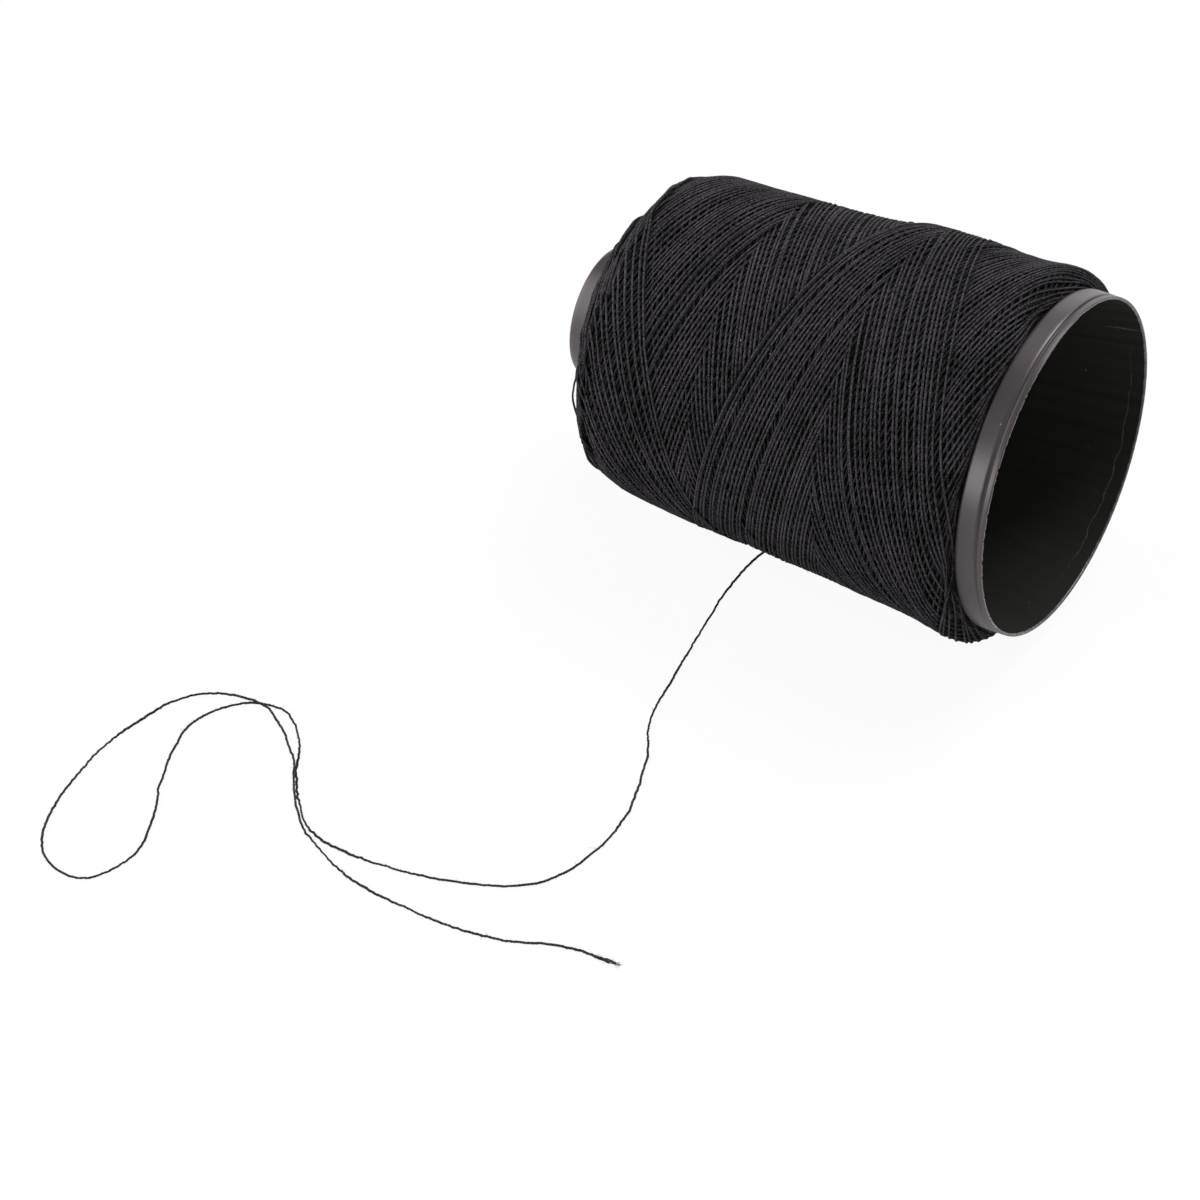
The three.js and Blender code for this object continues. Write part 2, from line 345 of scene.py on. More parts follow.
def thread_material(name, color, fibre_length):
    """Soft black cotton: its shade drifts along the thread and its fibres run with the twist."""
    material, nodes = new_material(name)
    along = nodes.add("ShaderNodeAttribute", {"attribute_name": "along"}, out="Fac")
    round_at = nodes.add("ShaderNodeAttribute", {"attribute_name": "round"}, out="Vector")
    shade = nodes.add("ShaderNodeAttribute", {"attribute_name": "shade"}, out="Fac")
    x, y = (nodes.add("ShaderNodeSeparateXYZ", sockets={0: round_at}, out=i) for i in (0, 1))
    turn = y.math("ARCTAN2", x)
    ply = (turn * 3 + along * (math.tau * 3 / fibre_length)).math("SINE")
    body = nodes.add("ShaderNodeTexCoord", out="Object")
    fleck = nodes.add("ShaderNodeTexNoise", sockets={"Vector": body, "Scale": 2600.0, "Detail": 3.0})
    patch = nodes.add("ShaderNodeTexNoise", sockets={"Vector": body, "Scale": 150.0, "Detail": 2.0})
    tone = (1 + ply * 0.25 + (fleck - 0.5) * 3.5 + (patch - 0.5) * 1.2).math("MAXIMUM", 0.1)
    # The shade attribute scales the colour: a random drift along a thread, a lint speck's own tone, and
    # painted shade where a thread lies below others.
    tone = tone * (1 + shade)
    rgb = nodes.add("ShaderNodeVectorMath", {"operation": "SCALE"}, {0: color, "Scale": tone})
    height = ply * 0.6 + fleck * 0.6
    bump = nodes.add("ShaderNodeBump", sockets={
        "Strength": 1.0, "Distance": 0.06 * mm, "Height": height})
    skin = nodes.add("ShaderNodeBsdfPrincipled", sockets={
        "Base Color": rgb, "Roughness": 0.8, "Normal": bump, "Specular IOR Level": 0.05})
    nodes.add("ShaderNodeOutputMaterial", sockets={"Surface": skin})
    return material


loose_cotton = thread_material("loose_cotton", (0.045, 0.039, 0.041), 2.0 * mm)

route_step = 0.15 * mm
straight_start = 60            # steps over which the first kinks grow, from where it is held down
frayed = 4.5 * mm              # of the tip
uncut = 0.001 * mm             # the frayed length of a thread that isn't
tip_lift = 0.12 * mm
twist_length = 1.5 * mm        # of one turn of its plies
route = [(x * mm, y * mm, lay_height + lift * mm) for x, y, lift in loose_route]
points = smooth_line(route, route_step)
tangents = np.gradient(points, axis=0)
sideways = np.stack([-tangents[:, 1], tangents[:, 0], 0 * tangents[:, 0]], axis=1)
sideways /= np.linalg.norm(sideways, axis=1)[:, None]
kinks = sum(wander(len(points), spacing, size * mm)
            for spacing, size in ((40, 0.08), (14, 0.065), (6, 0.035)))
kinks *= np.minimum(1, np.arange(len(points)) / straight_start)
points += sideways * kinks[:, None]
from_tip = np.arange(len(points))[::-1] * route_step
points[:, 2] += tip_lift * np.clip(1 - from_tip / frayed, 0, 1)
mesh = run_tree("loose_end", line_mesh("loose_line", [(points, 0.0)]), thread_tree, {
    "Diameter": 0.25 * mm, "Sides": 6, "Plies": 3, "Twist Length": twist_length,
    "Ply Spread": 0.095 * mm, "Frayed": frayed, "Unevenness": 1.4, "Finish": loose_cotton})
skin = np.zeros(len(mesh.vertices) * 3, np.float32)
mesh.vertices.foreach_get("co", skin)
skin[2::3] = np.maximum(skin[2::3], 0.01 * mm)     # it lies flat on the table where it is thick
mesh.vertices.foreach_set("co", skin)
loose_end = add_piece("thread_loose_end", mesh)
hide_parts("loose_end")


def stray_fibres(starts, outward, lengths):
    """Single fibres that stand off the thread at these places, lean at random and curl over."""
    lines = []
    for start, out, length in zip(starts, outward, lengths):
        lean, curl = random.normal(0, 1, (2, 3))
        way = out + lean * 0.6
        t = np.linspace(0, length, 4)[:, None]
        line = start + way / np.linalg.norm(way) * t + curl * 0.3 * t ** 2 / length
        line[:, 2] = np.maximum(line[:, 2], 0.03 * mm)
        lines.append((line, 0.0))
    return lines


def fluff_piece(name, fibres, diameter):
    """A piece of single fibres, each a fine three-sided tube."""
    mesh = run_tree(name, line_mesh(name, fibres), thread_tree, {
        "Diameter": diameter, "Sides": 3, "Plies": 1, "Twist Length": 1.0, "Ply Spread": 0.0,
        "Frayed": uncut, "Unevenness": 0.0, "Finish": loose_cotton})
    return add_piece(name, mesh)


# Fluff along the loose end, and a brush of fibres where its tip was cut.
fluff_count, tip_count = 260, 160
at = np.concatenate([random.integers(0, len(points), fluff_count),
                     len(points) - 1 - random.integers(0, int(frayed / route_step), tip_count)])
around = random.uniform(-0.3, math.pi + 0.3, len(at))[:, None]
outward = sideways[at] * np.cos(around) + np.array([0, 0, 1]) * np.sin(around)
along_tip = tangents[-1] / np.linalg.norm(tangents[-1]) * 2.5
outward[fluff_count:] = outward[fluff_count:] * 0.8 + along_tip
lengths = np.concatenate([random.gamma(3, 0.1, fluff_count), random.gamma(5, 0.09, tip_count)]) * mm
fibres = stray_fibres(points[at] + outward * 0.1 * mm, outward, lengths)
fluff_piece("loose_end_fluff", fibres, 0.05 * mm)

# --------------------------------------------------------------------------------------- the cone
# One hollow piece of black plastic, moulded with a satin skin: a collar round its wide mouth with a
# fine groove and a thin lip, which is chipped from use, and a round-edged hole at its small end.

tilt = math.radians(3.5)       # the cone's axis rises towards its mouth
core_low, core_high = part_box("core")
collar_radius = (core_high.y - core_low.y) / 2
mouth = np.array([core_high.x - collar_radius * math.sin(tilt), 0,
                  core_high.z - collar_radius * math.cos(tilt)])
to_mouth = np.array([math.cos(tilt), 0, math.sin(tilt)])
to_top = np.array([-math.sin(tilt), 0, math.cos(tilt)])
to_front = np.array([0, -1, 0])

cone_length = 91.5
body_radius = 29               # behind the collar
nose_radius = 12
collar_length = 5.1
core_steps = 540               # round the axis, about one every third of a millimetre
chip_count = 260
chip_reach = 0.5               # from the mouth's plane
roughness = 0.012              # of the worn edge


def place_at(depth, radius, turn):
    """Points at a depth from the mouth's plane and a radius, both in millimetres, and a turn."""
    depth, radius, turn = np.broadcast_arrays(depth, radius, turn)
    outward = np.cos(turn)[..., None] * to_top + np.sin(turn)[..., None] * to_front
    return mouth + (radius[..., None] * outward - depth[..., None] * to_mouth) * mm


def cone_radius(depth):
    return np.interp(depth, [collar_length, cone_length], [body_radius, nose_radius])


def turned_mesh(name, points):
    """A closed skin over rings of points, (rings, steps, 3), where the last ring meets the first."""
    rings, steps = points.shape[:2]
    near = np.arange(rings * steps).reshape(rings, steps)
    far = np.roll(near, -1, axis=0)
    faces = np.stack([near, far, np.roll(far, -1, axis=1), np.roll(near, -1, axis=1)], axis=-1)
    mesh = bpy.data.meshes.new(name)
    mesh.vertices.add(rings * steps)
    mesh.vertices.foreach_set("co", points.ravel())
    mesh.loops.add(faces.size)
    mesh.loops.foreach_set("vertex_index", faces.ravel())
    mesh.polygons.add(rings * steps)
    mesh.polygons.foreach_set("loop_start", np.arange(0, faces.size, 4))
    mesh.update(calc_edges=True)
    mesh.shade_smooth()
    return mesh


def rounded(rows, steps=4):
    """The closed outline of (depth, radius, round) rows with its corners rounded. A point a little
    before and after each corner keeps the shading of the straight stretches even."""
    rows = np.array(rows, float)
    line = []
    for before, corner, after in zip(np.roll(rows, 1, 0), rows, np.roll(rows, -1, 0)):
        here, size = corner[:2], corner[2]
        start, end = (side[:2] - here for side in (before, after))
        start, end = (side * min(0.3, size / np.linalg.norm(side)) for side in (start, end))
        t = np.linspace(0, 1, steps)[:, None]
        line += [here + start * 1.5, here + start * (1 - t) ** 2 + end * t ** 2, here + end * 1.5]
    return np.vstack(line)


collar_outer, lip_outer = 30, 29.95
lip_inner = (0.15, 29.45)      # depth and radius
hole_radius = 10.7             # at the small end
outline = rounded([
    (0, lip_outer, 0.2), (0.98, collar_outer, 0.3), (1.26, 29.64, 0.15),
    (1.6, collar_outer, 0.4), (collar_length, collar_outer, 0.5), (collar_length, body_radius, 0.2),
    (cone_length, nose_radius, 0.9), (cone_length, hole_radius, 0.5),
    (*lip_inner, 0.1), (0, 29.58, 0.06)])
depth, radius = (np.repeat(column[:, None], core_steps, axis=1) for column in outline.T)
turn = np.arange(core_steps) * math.tau / core_steps

chips = np.zeros(core_steps)
for centre, width, size in zip(random.uniform(0, math.tau, chip_count),
                               random.uniform(0.002, 0.012, chip_count),
                               random.uniform(0.03, 0.26, chip_count) ** 1.5):
    away = (turn - centre + math.pi) % math.tau - math.pi
    chips = np.maximum(chips, size * np.exp(-(away / width) ** 2) * 2)
at_edge = np.clip(1 - depth / chip_reach, 0, 1) * np.clip((lip_outer - radius) / 0.4, 0, 1)
front_side = (1 + np.cos(turn - math.radians(55))) / 2    # the worn edge shows lighter towards the upper front
wear = np.clip(at_edge * (0.12 + (0.55 + chips * 8) * front_side), 0, 1)
depth = depth + at_edge * (chips + random.normal(0, roughness, depth.shape))
radius = radius + at_edge * random.normal(0, roughness, depth.shape)

mesh = turned_mesh("cone", place_at(depth, radius, turn))
mesh.attributes.new("wear", "FLOAT", "POINT").data.foreach_set("value", wear.ravel().astype(np.float32))

plastic, nodes = new_material("black_plastic")
body = nodes.add("ShaderNodeTexCoord", out="Object")
grain = nodes.add("ShaderNodeTexNoise", sockets={"Vector": body, "Scale": 2500.0, "Detail": 3.0})
smear = nodes.add("ShaderNodeTexNoise", sockets={"Vector": body, "Scale": 90.0, "Detail": 4.0})
speckle = nodes.add("ShaderNodeTexNoise", sockets={"Vector": body, "Scale": 5200.0, "Detail": 1.0})
wear_at = nodes.add("ShaderNodeAttribute", {"attribute_name": "wear"}, out="Fac")
worn = (wear_at * (speckle * 4 - 1.3).math("MAXIMUM", 0.1)).math("MINIMUM", 1.0)
black = nodes.add("ShaderNodeMix", {"data_type": "RGBA"},
                  {"Factor": smear, 6: (0.032, 0.027, 0.029, 1), 7: (0.042, 0.035, 0.037, 1)}, out=2)
color = nodes.add("ShaderNodeMix", {"data_type": "RGBA"},
                  {"Factor": worn, 6: black, 7: (0.48, 0.45, 0.42, 1)}, out=2)
height = grain * 0.5 + worn * speckle * 2
bump = nodes.add("ShaderNodeBump", sockets={"Strength": 0.5, "Distance": 0.02 * mm, "Height": height})
skin = nodes.add("ShaderNodeBsdfPrincipled", sockets={
    "Base Color": color, "Roughness": 0.32 + smear * 0.12 + worn * 0.3, "Normal": bump,
    "Specular IOR Level": 0.68, "Specular Tint": (1, 0.93, 0.95, 1)})
nodes.add("ShaderNodeOutputMaterial", sockets={"Surface": skin})
mesh.materials.append(plastic)

# The bore's plastic is painted darker and given less shine than the outside: painted shade inside the
# cone, where little light falls.
inside_plastic_painted_shade, nodes = new_material("inside_painted_shade")
body = nodes.add("ShaderNodeTexCoord", out="Object")
cloud = nodes.add("ShaderNodeTexNoise", sockets={"Vector": body, "Scale": 120.0, "Detail": 5.0})
black = nodes.add("ShaderNodeMix", {"data_type": "RGBA"},
                  {"Factor": cloud, 6: (0.015, 0.015, 0.0125, 1), 7: (0.022, 0.021, 0.0185, 1)}, out=2)
bore = nodes.add("ShaderNodeMapping", {"vector_type": "TEXTURE"},
                 {"Vector": body, "Location": mouth, "Rotation": (0, -tilt, 0)})
x, y, z = (nodes.add("ShaderNodeSeparateXYZ", sockets={0: bore}, out=i) for i in range(3))
deep = x * (-1 / mm)
turn_at = (y * -1).math("ARCTAN2", z)
wave = nodes.add("ShaderNodeTexNoise", sockets={"Vector": body, "Scale": 260.0, "Detail": 3.0}) - 0.5
broken = nodes.add("ShaderNodeTexNoise", sockets={"Vector": body, "Scale": 900.0, "Detail": 2.0})


def fine_line(off, half_width):
    """One on the line, none past its half width; a line is where the first value is nought."""
    return (1 - off.math("ABSOLUTE") / half_width).math("MAXIMUM", 0.0)


# A wavy, broken light ring runs round the bore near the mouth, and something has scraped it.
ring_depth, ring_angle, ring_reach = 2.5, math.radians(-128), 0.9          # the reach in radians
scrape_angle, scrape_depth, scrape_reach = math.radians(-70), 3.4, 3.6     # and in millimetres
ring_mark = fine_line(deep - ring_depth - wave * 1.6, 0.09)
ring_mark = ring_mark * fine_line(turn_at - ring_angle, ring_reach)
scrape = fine_line((turn_at - scrape_angle) * body_radius - wave * 0.5, 0.2)
scrape = scrape * fine_line(deep - scrape_depth, scrape_reach)
marked = ((ring_mark + scrape) * 2.0 * (broken * 3 - 0.8)).math("MAXIMUM", 0.0).math("MINIMUM", 0.8)
black = nodes.add("ShaderNodeMix", {"data_type": "RGBA"},
                  {"Factor": marked, 6: black, 7: (0.12, 0.115, 0.105, 1)}, out=2)
bump = nodes.add("ShaderNodeBump", sockets={"Strength": 0.4, "Distance": 0.05 * mm, "Height": cloud})
skin = nodes.add("ShaderNodeBsdfPrincipled", sockets={
    "Base Color": black, "Roughness": 0.7 + cloud * 0.2, "Normal": bump, "Specular IOR Level": 0.12})
nodes.add("ShaderNodeOutputMaterial", sockets={"Surface": skin})
mesh.materials.append(inside_plastic_painted_shade)
# The bore's faces take the plastic painted with shade.
inner_side = (outline[:, 1] < cone_radius(outline[:, 0]) - 0.4) & (outline[:, 0] > 0.4)
finish = np.repeat(inner_side, core_steps).astype(np.int32)
mesh.polygons.foreach_set("material_index", finish)
cone = add_piece("cone", mesh)
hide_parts("core")

# ----------------------------------------------------------------------------- the winding's form
# Some hundreds of metres of thread, cross-wound on the cone into one firm package. Its outer line
# runs from the collar along the taper, over the shoulder and down to the small end of the cone, and
# what is laid on it is a height above that line, kept for each ring and each cell of a ring.

ring_step = 0.1                # along the outer line, in millimetres
turn_cells = 1800              # round the axis
cell_angle = 360 / turn_cells
cell_turns = np.radians(np.arange(turn_cells) * cell_angle)
winding_start, winding_end = 5.4, 87.6

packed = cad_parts["winding"].data
skin = BVHTree.FromPolygons([v.co for v in packed.vertices], [p.vertices for p in packed.polygons])


def skin_radius(depth, turn):
    """The radius of the winding there, in millimetres, found from outside it."""
    start, middle = (Vector(place_at(depth, r, turn)) for r in (40.0, 0.0))
    distance = skin.ray_cast(start, middle - start)[3]
    return 40.0 - (distance / mm if distance else math.nan)


def smoothed(values, count):
    """A moving mean of that many values along the first axis, with the ends held."""
    half = count // 2
    padded = np.concatenate([np.repeat(values[:1], half, 0), values, np.repeat(values[-1:], half, 0)])
    sums = np.cumsum(np.concatenate([padded[:1] * 0, padded]), axis=0)
    return (sums[2 * half:] - sums[:-2 * half])[:len(values)] / (2 * half)


form_depths = np.arange(winding_start + 0.05, winding_end, 0.25)
form_turns = np.radians(np.arange(0, 360, 5))
kept_from = 4                  # the form's first depths give way to a flat face at the collar
at_collar, face_inner, face_outer = winding_start - 0.05, 28.4, 30.3
end_radius = 13.2
form = np.array([[skin_radius(d, t) for t in form_turns] for d in form_depths])
typical = np.nanmedian(form, axis=1)

line = np.vstack([(at_collar, face_inner), (at_collar, face_outer),
                  *zip(form_depths[kept_from:], typical[kept_from:]),
                  (winding_end, end_radius)])
along = np.concatenate([[0], np.cumsum(np.linalg.norm(np.diff(line, axis=0), axis=1))])
rings = np.arange(0, along[-1], ring_step)
line = np.stack([np.interp(rings, along, line[:, i]) for i in (0, 1)], axis=1)
line = smoothed(smoothed(line, 16), 16)
slope = np.gradient(line, axis=0)
slope /= np.linalg.norm(slope, axis=1)[:, None]
away = np.clip((line[:, 0] - 6) / 4, 0, 1)     # at the collar, out means straight from the axis
out_depth, out_radius = -slope[:, 1] * away, slope[:, 0] * away + (1 - away)
out_depth, out_radius = (part / np.hypot(out_depth, out_radius) for part in (out_depth, out_radius))

# The form is not quite round: it swells a little here and there, and the reel's weight presses it
# flat where it lies on the table.
extra = np.nan_to_num(form - typical[:, None])
once_round = slice(len(form_turns), 2 * len(form_turns))
extra = smoothed(np.hstack([extra, extra, extra]).T, 12).T[:, once_round]
extra = smoothed(extra, 16)
extra = extra[np.interp(line[:, 0], form_depths, np.arange(len(form_depths))).astype(int)]
extra = np.array([np.interp(cell_turns, form_turns, row, period=math.tau) for row in extra])
swell_start, swell_full = 12, 42    # rings; beside the collar the winding is round
swell = np.clip((np.arange(len(line)) - swell_start) / (swell_full - swell_start), 0, 1)
extra *= (out_radius * swell)[:, None]
line_height = (mouth[2] / mm + line[:, :1] * -math.sin(tilt)
               + line[:, 1:] * math.cos(tilt) * np.cos(cell_turns))
down = out_depth[:, None] * math.sin(tilt) - out_radius[:, None] * math.cos(tilt) * np.cos(cell_turns)
no_limit, facing_down = 9.0, 0.2
room = np.where(down > facing_down, line_height / np.maximum(down, facing_down), no_limit)
hollow = 0.6 * np.clip(line[:, :1] / 7 - 80 / 7, 0, 1)     # the small end's face sinks in a little
form_height = np.minimum(extra - hollow, room)


def on_line(ring, turn, height):
    """Points at a place on the outer line, a turn, and a height out from it in millimetres."""
    at = np.arange(len(line))
    depth, radius, along_depth, along_radius = (
        np.interp(ring, at, column) for column in (*line.T, out_depth, out_radius))
    return place_at(depth + along_depth * height, radius + along_radius * height, turn)


# ---------------------------------------------------------------------------- the winding's turns
# The thread as the machine laid it: it runs to the small end and back to the collar in about three
# turns, each pair of runs a little behind the last, so that its two sets of turns cross in
# chevrons. Chords of older turns cover the small end's face. Every turn lies over those before it.

thread_size = thread_diameter / mm
layers = 2
layer_cycles = 62              # pairs of runs that go once round the winding
cycle_turns = 3 * 360 + 360 / layer_cycles
first_turning = -34.2          # degrees, at the small end
run_angles = [first_turning, -5, 71, 109.7, 332.9, 447.1, first_turning + cycle_turns]
run_depths = [87.5, 79.5, 62.5, 56, 24, 4.1, 87.0]
bulge_depth = 8.5              # where the winding is widest; from there it rounds down to the collar
last_angle = 174.2             # under the reel, where the thread leaves it
thread_half = {k: math.sqrt((thread_size / 2) ** 2 - (k * ring_step) ** 2) for k in (-2, -1, 0, 1, 2)}

mouth_turning = (13, 11)       # where runs turn back at the collar: ring, and how it varies
nose_turning = (81.8, 2.2)     # and at the small end: depth, and how it varies
nose_turning_most = (78, 86)
turning_cells = 160            # over which a turning is rounded
drifts = ((1500, 0.22), (260, 0.07))    # of a thread from its path: cells, and millimetres

cycles = layers * layer_cycles
count = int(cycles * cycle_turns / cell_angle)
angle = last_angle + (count - np.arange(count)) * cell_angle
phase = (angle - first_turning) % cycle_turns + first_turning
cycle = ((angle - first_turning) // cycle_turns).astype(int)
bulge = np.searchsorted(line[:, 0], bulge_depth)
depths, rings = [min(run_depths), *line[bulge:, 0]], [-5, *range(bulge, len(line))]
ring = np.interp(np.interp(phase, run_angles, run_depths), depths, rings)
mouth_limit = mouth_turning[0] + np.abs(wander(cycles + 8, 1.5, mouth_turning[1]))
nose_limit = np.clip(nose_turning[0] + wander(cycles + 8, 2, nose_turning[1]), *nose_turning_most)
nose_limit = np.interp(nose_limit, depths, rings)
ring = smoothed(np.clip(ring, mouth_limit[cycle], nose_limit[cycle]), turning_cells)
ring = ring + sum(wander(count, cells, size) for cells, size in drifts) / ring_step
edge_rings = 3                 # kept clear at both ends of the outer line


def new_turns(ring, cell, bridge, press):
    """A thread's path. Taut, it bridges dips up to that many cells long, and presses that far into
    what it lies on, in millimetres."""
    ring = np.clip(ring, edge_rings, len(line) - 1 - edge_rings)
    return {"ring": ring, "cell": cell, "bridge": bridge, "press": press}


main_turns = new_turns(ring, np.round(angle / cell_angle).astype(int), 24, 0.18)


# The straight chords of older turns, oldest first, ever farther from the axis as the package grew.
chord_count = 310
first_chord, last_chord = 14, 25.8      # millimetres from the axis
chord_end_radius = 28.5        # of the shoulder, over which a chord runs out
widest_chord = 40              # degrees each way from its middle
shoulder = np.arange(700, len(line))    # rings that the chords may lie on
nose_middle = -35.0            # degrees, halfway round the newest turning
nearest_radius = np.linspace(first_chord, last_chord, chord_count)
nearest_radius += random.normal(0, 0.12, chord_count)
turns = []
for age, radius in zip(range(cycles + chord_count, cycles, -1), nearest_radius):
    half = min(math.degrees(math.acos(radius / chord_end_radius)), widest_chord)
    away = np.arange(int(half / cell_angle), -int(half / cell_angle), -1)
    from_axis = radius / np.cos(np.radians(away * cell_angle))
    ring = np.interp(-from_axis, -line[shoulder, 1], shoulder)
    middle_cell = round((nose_middle + age * cycle_turns + random.normal(0, 2)) / cell_angle)
    turns.append(new_turns(ring, middle_cell + away, 12, 0.2))
turns.append(main_turns)


slope_rings = (2, 4, 6)        # how far to both sides of a thread its slope is felt
slide_gain = 4.0               # rings, for each millimetre that one side is higher
slide_most = 3.0
slide_span = 60                # cells over which a slide is spread


def windows(values, half):
    return np.lib.stride_tricks.sliding_window_view(np.pad(values, half, mode="edge"), 2 * half + 1)


def taut(support, curve, span):
    """The line that a taut thread takes over a bumpy round support: straight from top to top of
    those no more than a span of cells away."""
    drop = np.radians(np.arange(-span, span + 1) * cell_angle) ** 2 / 2 * curve
    rise = (windows(support, span) - drop).max(axis=1)
    return (windows(rise, span) + drop).min(axis=1)


def lay(surface, turn):
    """Lays a thread along its path on the surface, and raises the surface there. The thread slides a
    little way down into the nearest valley, and keeps its place and the height of its middle."""
    ring, cell, bridge, press = (turn[key] for key in ("ring", "cell", "bridge", "press"))
    middle = np.zeros(len(ring))
    slope = np.zeros(len(ring))
    laid = ring.copy()
    seen = 0
    for start in range(0, len(ring), turn_cells):
        here = slice(start, min(start + turn_cells, len(ring)))
        ahead = slice(start, min(here.stop + bridge, len(ring)))
        new = slice(seen, min(here.stop + slide_span, len(ring)))
        rows = np.clip(np.round(ring[new]).astype(int), slope_rings[-1], len(line) - 1 - slope_rings[-1])
        columns = cell[new] % turn_cells
        slope[new] = sum(surface[rows - k, columns] - surface[rows + k, columns]
                         for k in slope_rings) / len(slope_rings)
        seen = new.stop
        slid = smoothed(np.clip(slope * slide_gain, -slide_most, slide_most), slide_span)
        laid[ahead] = np.clip(ring[ahead] + slid[ahead], edge_rings, len(line) - 1 - edge_rings)
        rows, columns = np.round(laid[ahead]).astype(int), cell[ahead] % turn_cells
        support = np.max([surface[rows + k, columns] + half for k, half in thread_half.items()], axis=0)
        before = middle[max(0, start - bridge):start]
        curve = (line[rows, 1] * out_radius[rows]).mean()
        line_taken = taut(np.concatenate([before, support - press]), curve, bridge)
        middle[here] = line_taken[len(before):len(before) + here.stop - start]
        rows, columns = rows[:here.stop - start], columns[:here.stop - start]
        for k, half in thread_half.items():
            surface[rows + k, columns] = np.maximum(surface[rows + k, columns], middle[here] + half)
    turn["laid"], turn["middle"] = laid, smoothed(middle, 16)


# Laid once on a bare even form, the turns tell how thick they lie, and so how deep the packed
# thread is under them. Laid again on that, they end up at the winding's own outer form.
near_top = 0.93                # of a ring's heights, this share lies below its usual top
surface = np.zeros(form_height.shape)
for turn in turns:
    lay(surface, turn)
thickness = smoothed(np.quantile(surface, near_top, axis=1), 12)
over_cone = 0.35               # the least that lies between the cone and the turns
least = np.where(out_radius > 0.5, cone_radius(line[:, 0]) + over_cone - line[:, 1], -no_limit)
body_height = np.maximum(form_height - thickness[:, None], least[:, None])
surface = body_height.copy()
for turn in turns:
    lay(surface, turn)

cotton = thread_material("cotton", (0.054, 0.0495, 0.055), 2.0 * mm)
laid_thread = {                # a little thinner than loose thread, because it is drawn tight
    "Diameter": 0.92 * thread_diameter, "Sides": 6, "Plies": 1, "Twist Length": twist_length,
    "Ply Spread": 0.0, "Frayed": uncut, "Unevenness": 0.25, "Finish": cotton}


# Painted shade: a thread's colour is darker by so much for each millimetre that it lies below its
# neighbours.
painted_buried_shade, darkest_painted_shade = -2.2, -0.75
near_rings, near_cells = (-5, 0, 5), (-4, 0, 4)    # where its neighbours are


def finished_turns(name, parts, segment):
    """A piece of thread along these parts of the turns, with a point every so many cells."""
    lines = []
    for turn, first, last in parts:
        kept = np.unique([*range(first, last, segment), last - 1])
        ring, middle = turn["laid"][kept], turn["middle"][kept]
        cell = turn["cell"][kept]
        points = on_line(ring, np.radians(cell * cell_angle), middle)
        points[:, 2] = np.maximum(points[:, 2], thread_diameter / 2)
        rows = np.clip(np.round(ring).astype(int), near_rings[-1], len(line) - 1 - near_rings[-1])
        around = [surface[rows + k, (cell + c) % turn_cells] for k in near_rings for c in near_cells]
        # How far the thread lies below its neighbours, which sets its painted shade.
        buried = np.clip(np.max(around, axis=0) - middle - thread_size / 2, 0, thread_size)
        shade = wander(len(points), 60, 0.06) + painted_buried_shade * buried
        lines.append((points, np.maximum(shade, darkest_painted_shade)))
    add_piece(name, run_tree(name, line_mesh(name, lines), thread_tree, laid_thread))


end_turns = [(turn, 0, len(turn["ring"])) for turn in turns[:-1]]
finished_turns("winding_end_turns", end_turns, 12)
thirds = np.linspace(0, count, 4).astype(int)
for number, first, last in zip((1, 2, 3), thirds, thirds[1:]):
    finished_turns(f"winding_turns_{number}", [(main_turns, max(0, first - 1), last)], 15)

# -------------------------------------------------------------------- the winding's packed thread
# Thread wound long before the turns that show, packed too tightly to tell one from the next. It
# is the firm body under them and reaches down to the cone.

body_rings = np.arange(0, len(line), 10)        # one every millimetre
body_cells = np.arange(0, turn_cells, 6)        # and one every 1.2 degrees
outer = on_line(body_rings[:, None], cell_turns[body_cells], body_height[body_rings][:, body_cells])
cone_gap, bore_inset = 0.3, 1.5
bore_depths = np.array([winding_end - bore_inset, winding_start + bore_inset])[:, None]
bore = place_at(bore_depths, cone_radius(bore_depths) + cone_gap, cell_turns[body_cells])
mesh = turned_mesh("winding_body", np.concatenate([outer, bore]))

packed_cotton_painted_shade, nodes = new_material("packed_cotton_painted_shade")
body = nodes.add("ShaderNodeTexCoord", out="Object")
fleck = nodes.add("ShaderNodeTexNoise", sockets={"Vector": body, "Scale": 2200.0, "Detail": 3.0})
bump = nodes.add("ShaderNodeBump", sockets={"Strength": 1.0, "Distance": 0.2 * mm, "Height": fleck})
# Darker than the cotton of the turns over it: painted shade in the gaps between those turns.
shade = nodes.add("ShaderNodeMix", {"data_type": "RGBA"},
                  {"Factor": fleck, 6: (0.020, 0.018, 0.020, 1), 7: (0.036, 0.032, 0.036, 1)}, out=2)
skin = nodes.add("ShaderNodeBsdfPrincipled", sockets={
    "Base Color": shade, "Roughness": 0.9, "Normal": bump, "Specular IOR Level": 0.2})
nodes.add("ShaderNodeOutputMaterial", sockets={"Surface": skin})
mesh.materials.append(packed_cotton_painted_shade)
winding_body = add_piece("winding_body", mesh)
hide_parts("winding")

# ------------------------------------------------------------------------- the odd turns and fluff
# One slack turn stands off the small end's shoulder, and the last turn leaves the winding for the
# table. Fluff stands off the thread in tufts, and pale bits of lint lie on the thread and the cone.

slack_route = [                # degrees, depth, and height over the turns below, in millimetres
    (54, 82.0, -0.4), (61, 82.3, 0.1), (68, 81.6, 0.45), (76, 81.2, 0.75), (86, 82.0, 0.92),
    (94, 82.5, 0.92), (100, 82.3, 0.6), (107, 80.8, 0.3), (118, 77.3, 0.15), (128, 74.0, -0.3)]


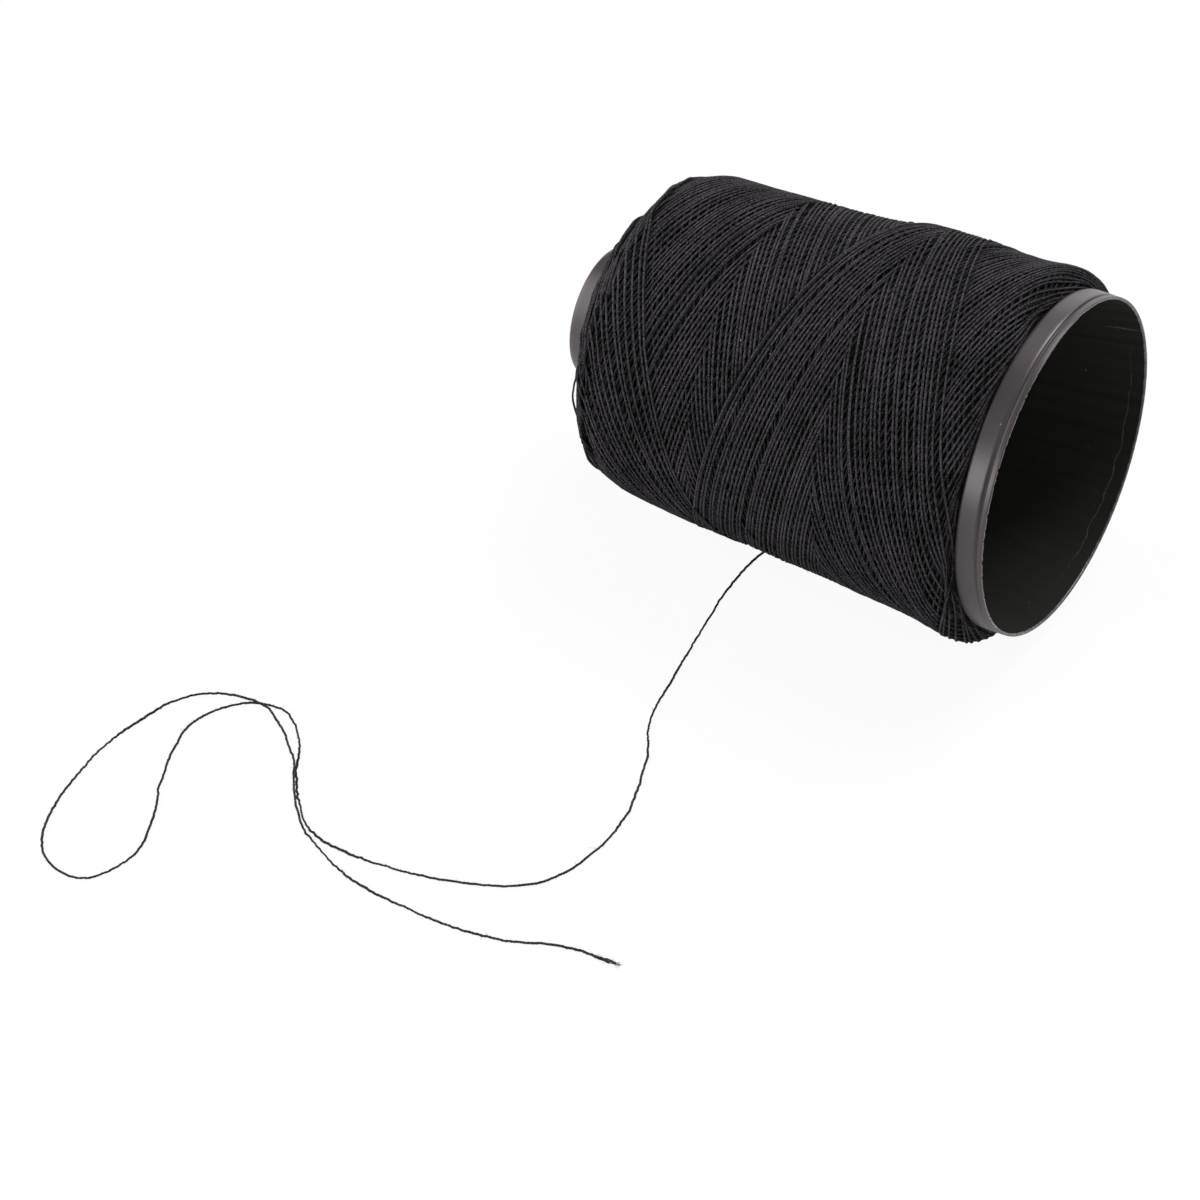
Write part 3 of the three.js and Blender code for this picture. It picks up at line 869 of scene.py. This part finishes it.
def on_turns(ring, turn, height):
    """Points at a height over the turns that show, and the way out from the winding there."""
    rows = np.clip(np.round(ring).astype(int), 0, len(line) - 1)
    top = surface[rows, np.round(np.degrees(turn) / cell_angle).astype(int) % turn_cells]
    points, farther = (on_line(ring, turn, top + h) for h in (height, height + 1))
    return points, (farther - points) / mm


angles, route_depths, heights = (np.array(column, float) for column in zip(*slack_route))
fine = np.linspace(angles[0], angles[-1], 60)
ring = smoothed(np.interp(np.interp(fine, angles, route_depths), depths, rings), 6)
points, outward = on_turns(ring, np.radians(fine), 0)
slack = smoothed(points, 8) + outward * smoothed(np.interp(fine, angles, heights), 6)[:, None] * mm

last = on_line(main_turns["laid"][-1], np.radians(last_angle), main_turns["middle"][-1])
last[2] = max(last[2], thread_diameter / 2)
lead_off = smooth_line([last, last * 0.4 + np.array(loose_exit) * 0.6, loose_exit], 0.3 * mm)
lines = line_mesh("odd_turns", [(slack, 0.0), (lead_off, 0.0)])
add_piece("winding_odd_turns", run_tree("odd_turns", lines, thread_tree, laid_thread))

tufts, tuft_fibres = 420, 5
tuft_rings = (40, 880)
tuft_size = (3, 0.008)         # rings, and radians
ring = np.repeat(random.uniform(*tuft_rings, tufts), tuft_fibres)
ring += random.normal(0, tuft_size[0], len(ring))
turn = np.repeat(random.uniform(0, math.tau, tufts), tuft_fibres)
turn += random.normal(0, tuft_size[1], len(turn))
starts, outward = on_turns(ring, turn, -0.08)
fibres = stray_fibres(starts, outward, random.gamma(3, 0.11, len(ring)) * mm)
clear_of_table = [fibre for fibre in fibres if fibre[0][0, 2] > 0.8 * mm]
fluff_piece("winding_fluff", clear_of_table, 0.035 * mm)

lint_on_turns = [(62.2, 64.5), (58.9, 60.0), (9.1, 15.0)]                   # depth and degrees
lint_on_cone = [(2.1, 41, 30.02), (2.1, 95, 30.02), (87.9, 63, 12.75)]      # and radius
dust = [(10.4, 266, 1.0), (3.4, 218, 0.6)]     # inside the cone: depth, degrees and size
lint_count, dust_count = 22, 34
lint_length, cone_lint_length = 0.4, 0.35      # millimetres
lint_on_turns += zip(random.uniform(8, 82, lint_count), random.uniform(-60, 240, lint_count))
spots = []
for depth, degrees in lint_on_turns:
    place, way = on_turns(np.interp(depth, depths, rings), math.radians(degrees), 0.03)
    spots.append((place, way, lint_length, 0.0))
for depth, degrees, radius in lint_on_cone:
    place = place_at(depth, radius, math.radians(degrees))
    spots.append((place, random.normal(0, 1, 3), cone_lint_length, 0.0))
dust += zip(random.gamma(2, 10, dust_count), random.uniform(0, 360, dust_count),
            random.uniform(0.3, 0.7, dust_count))
for depth, degrees, size in dust:
    radius = np.interp(depth, [lip_inner[0], cone_length], [lip_inner[1], hole_radius]) - 0.03
    place = place_at(depth, radius, math.radians(degrees))
    spots.append((place, random.normal(0, 1, 3), 0.2 * size + 0.1, 1.8 * size - 1))
bits = []
for place, way, length, shade in spots:
    across = np.cross(way, random.normal(0, 1, 3))
    across /= np.linalg.norm(across)
    t = np.linspace(-0.5, 0.5, 3)[:, None]
    bits.append((place + across * t * length * mm, shade))
pale_lint = thread_material("pale_lint", (0.50, 0.48, 0.46), 2.0 * mm)
mesh = run_tree("lint", line_mesh("lint", bits), thread_tree, {
    "Diameter": 0.14 * mm, "Sides": 5, "Plies": 1, "Twist Length": 1.0, "Ply Spread": 0.0,
    "Frayed": uncut, "Unevenness": 0.0, "Finish": pale_lint})
add_piece("lint", mesh)
